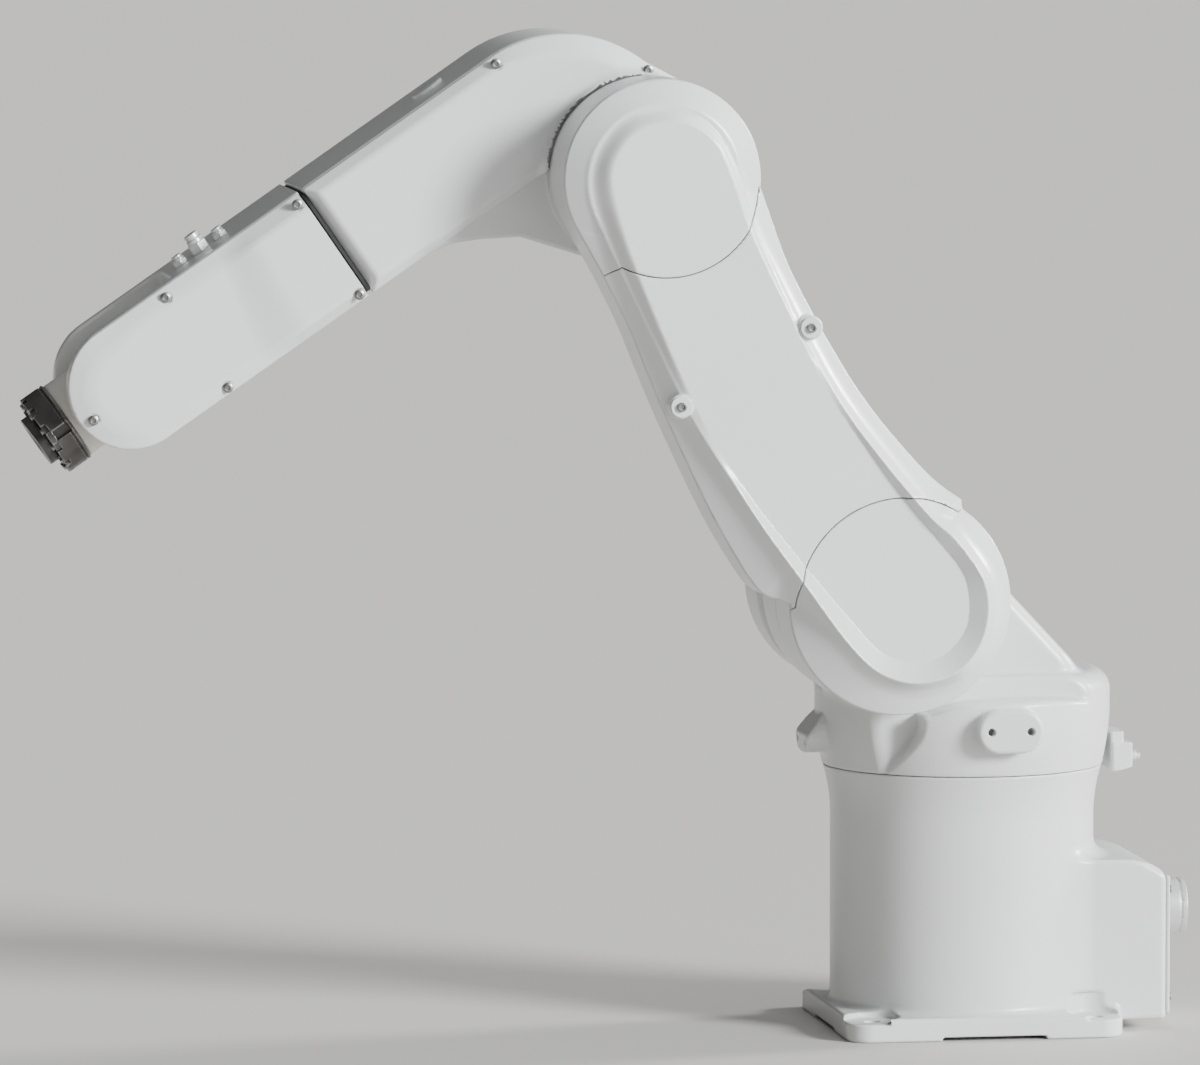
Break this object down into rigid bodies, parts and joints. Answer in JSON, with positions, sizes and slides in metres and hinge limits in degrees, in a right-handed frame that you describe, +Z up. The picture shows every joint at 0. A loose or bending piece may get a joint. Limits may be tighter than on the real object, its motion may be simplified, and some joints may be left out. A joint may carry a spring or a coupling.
{
  "type": "six-axis articulated robot arm",
  "caption": "Compact jointed arm with a round column, one-sided upper arm, offset elbow, rolling forearm and forked wrist, for carrying a tool on a bench, wall or ceiling.",
  "frame": {"origin": "on the first (vertical) axis at the underside of the foot plate", "axes": "+X is the way the arm reaches, +Y is the side the upper arm hangs on, +Z is up"},
  "size_m": [0.8852, 0.287, 0.7566],
  "materials": {
    "white_casting": "gloss powder paint",
    "white_cover": "gloss moulded plastic",
    "white_fitting": "satin paint",
    "dark_seal": "matt lip seal",
    "dark_steel": "turned and blackened",
    "bright_steel": "machined",
    "connector_metal": "satin die casting",
    "motor_body": "black enamel",
    "black_plastic": "fine moulded grain",
    "belt_rubber": "toothed belt"
  },
  "bodies": {
    "base": {"base_casting": "white_casting", "rear_panel": "white_cover", "main_connector": "connector_metal", "signal_connector": "connector_metal", "base_air_ports": "black_plastic", "rear_panel_screws": "bright_steel", "j1_motor": "motor_body", "j1_reducer": "bright_steel", "j1_seal": "dark_seal"},
    "shoulder": {"shoulder_casting": "white_casting", "shoulder_service_block": "white_fitting", "shoulder_air_ports": "black_plastic", "j2_reducer": "bright_steel", "j2_motor": "motor_body", "j2_motor_cover": "white_casting", "j2_cover_screws": "bright_steel"},
    "upper_arm": {"upper_arm_casting": "white_casting", "upper_arm_mid_cover": "white_cover", "shoulder_end_cover": "white_cover", "elbow_end_cover": "white_cover", "upper_arm_washers": "white_fitting", "upper_arm_screws": "bright_steel", "j2_hub": "bright_steel", "j3_hub": "bright_steel"},
    "forearm": {"elbow_casting": "white_casting", "elbow_near_cover": "white_cover", "elbow_far_cover": "white_cover", "elbow_cover_screws": "bright_steel", "elbow_plug": "white_cover", "j3_reducer": "bright_steel", "j3_motor": "motor_body", "j4_reducer": "bright_steel", "j4_motor": "motor_body", "j4_seal": "dark_seal"},
    "forearm_roll": {"fork_casting": "white_casting", "fork_near_cover": "white_cover", "fork_far_cover": "white_cover", "fork_cover_screws": "bright_steel", "fork_air_ports": "white_fitting", "j4_hub": "bright_steel", "j5_motor": "motor_body", "j5_drive_pulley": "bright_steel", "j5_belt": "belt_rubber", "j5_far_bearing": "bright_steel", "j5_near_bearing": "bright_steel"},
    "wrist": {"wrist_housing": "white_casting", "j5_driven_pulley": "bright_steel", "j6_motor": "motor_body", "j6_reducer": "bright_steel", "wrist_end_ring": "dark_steel", "wrist_ring_screws": "bright_steel"},
    "flange": {"tool_flange": "dark_steel", "flange_shaft": "bright_steel"}
  },
  "joints": [
    {"name": "j1_base_swivel", "type": "hinge", "parent": "base", "child": "shoulder", "pos_m": [0, 0, 0.2], "axis": [0, 0, 1], "range_deg": [-170, 170]},
    {"name": "j2_shoulder", "type": "hinge", "parent": "shoulder", "child": "upper_arm", "pos_m": [0.075, 0, 0.335], "axis": [0, 1, 0], "range_deg": [-129.5, 105.5]},
    {"name": "j3_elbow", "type": "hinge", "parent": "upper_arm", "child": "forearm", "pos_m": [0.25473, 0, 0.65268], "axis": [0, -1, 0], "range_deg": [-71, 214]},
    {"name": "j4_forearm_roll", "type": "hinge", "parent": "forearm", "child": "forearm_roll", "pos_m": [0.48702, 0, 0.60224], "axis": [0.8241, 0, -0.5664], "range_deg": [-190, 190]},
    {"name": "j5_wrist_bend", "type": "hinge", "parent": "forearm_roll", "child": "wrist", "pos_m": [0.63948, 0, 0.49746], "axis": [0, -1, 0], "range_deg": [-120, 120]},
    {"name": "j6_flange_roll", "type": "hinge", "parent": "wrist", "child": "flange", "pos_m": [0.70541, 0, 0.45214], "axis": [0.8241, 0, -0.5664], "range_deg": [-360, 360]}
  ]
}
